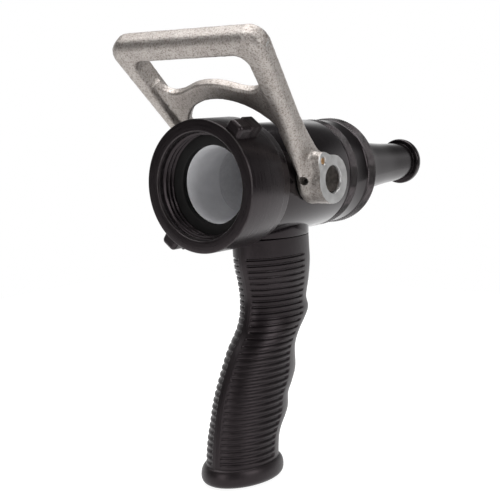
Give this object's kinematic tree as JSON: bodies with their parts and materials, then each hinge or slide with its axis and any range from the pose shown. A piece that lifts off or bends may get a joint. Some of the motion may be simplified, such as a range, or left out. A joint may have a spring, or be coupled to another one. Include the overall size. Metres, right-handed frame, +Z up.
{
  "type": "fire hose nozzle",
  "caption": "Pistol-grip fire hose nozzle with swivel rocker-lug coupling, ball valve worked by a pull-back bail, knurled tip and straight tapered bore.",
  "frame": {"origin": "centre of the flat base of the pistol grip", "axes": "+X along the flow, towards the outlet; +Y to the operator's left; +Z up, from the grip's base to the waterway"},
  "size_m": [0.1994, 0.091, 0.2215],
  "materials": {
    "anodised_body": "black hard-anodised, satin",
    "anodised_coupling": "black hard-anodised, matte turned",
    "anodised_tip": "black hard-anodised, satin, knurled bands",
    "cast_bail": "sand-cast, bead-blasted",
    "grip_polymer": "moulded, finely ribbed",
    "seat_acetal": "turned, smooth",
    "rubber_seal": "moulded, matte",
    "stainless_ball": "satin",
    "dark_steel": "oxidised, turned",
    "bronze": "turned"
  },
  "bodies": {
    "valve_and_grip": {"valve_body": "anodised_body", "outlet_adapter": "anodised_body", "nozzle_tip": "anodised_tip", "grip": "grip_polymer", "upstream_seat": "seat_acetal", "downstream_seat": "seat_acetal", "seat_o_ring": "rubber_seal", "tip_gasket": "rubber_seal", "grip_bolt": "dark_steel", "grip_washer": "dark_steel", "stem_bush_right": "bronze", "stem_bush_left": "bronze", "swivel_ball_1": "stainless_ball", "swivel_ball_2": "stainless_ball", "swivel_ball_3": "stainless_ball", "swivel_ball_4": "stainless_ball", "swivel_ball_5": "stainless_ball", "swivel_ball_6": "stainless_ball", "swivel_ball_7": "stainless_ball", "swivel_ball_8": "stainless_ball", "swivel_ball_9": "stainless_ball", "swivel_ball_10": "stainless_ball", "swivel_ball_11": "stainless_ball", "swivel_ball_12": "stainless_ball", "swivel_ball_13": "stainless_ball", "swivel_ball_14": "stainless_ball", "swivel_ball_15": "stainless_ball", "swivel_ball_16": "stainless_ball", "swivel_ball_17": "stainless_ball", "swivel_ball_18": "stainless_ball", "swivel_ball_19": "stainless_ball", "swivel_ball_20": "stainless_ball", "swivel_ball_21": "stainless_ball", "swivel_ball_22": "stainless_ball", "swivel_ball_23": "stainless_ball", "swivel_ball_24": "stainless_ball", "swivel_ball_25": "stainless_ball", "swivel_ball_26": "stainless_ball", "swivel_ball_27": "stainless_ball", "swivel_ball_28": "stainless_ball", "swivel_ball_29": "stainless_ball", "swivel_ball_30": "stainless_ball"},
    "bail_and_ball": {"bail": "cast_bail", "bail_setscrew_right": "dark_steel", "bail_setscrew_left": "dark_steel", "bail_pin_right": "bronze", "bail_pin_left": "bronze", "trunnion_stem_right": "dark_steel", "trunnion_stem_left": "dark_steel", "stem_o_ring_right": "rubber_seal", "stem_o_ring_left": "rubber_seal", "valve_ball": "stainless_ball"},
    "swivel_coupling": {"inlet_coupling": "anodised_coupling", "inlet_gasket": "rubber_seal", "race_plug_screw": "dark_steel"}
  },
  "joints": [
    {"name": "bail_hinge", "type": "hinge", "parent": "valve_and_grip", "child": "bail_and_ball", "pos_m": [0.0285, 0, 0.148], "axis": [0, 1, 0], "range_deg": [0, 90]},
    {"name": "inlet_swivel", "type": "hinge", "parent": "valve_and_grip", "child": "swivel_coupling", "pos_m": [-0.004, 0, 0.148], "axis": [1, 0, 0], "continuous": true}
  ]
}
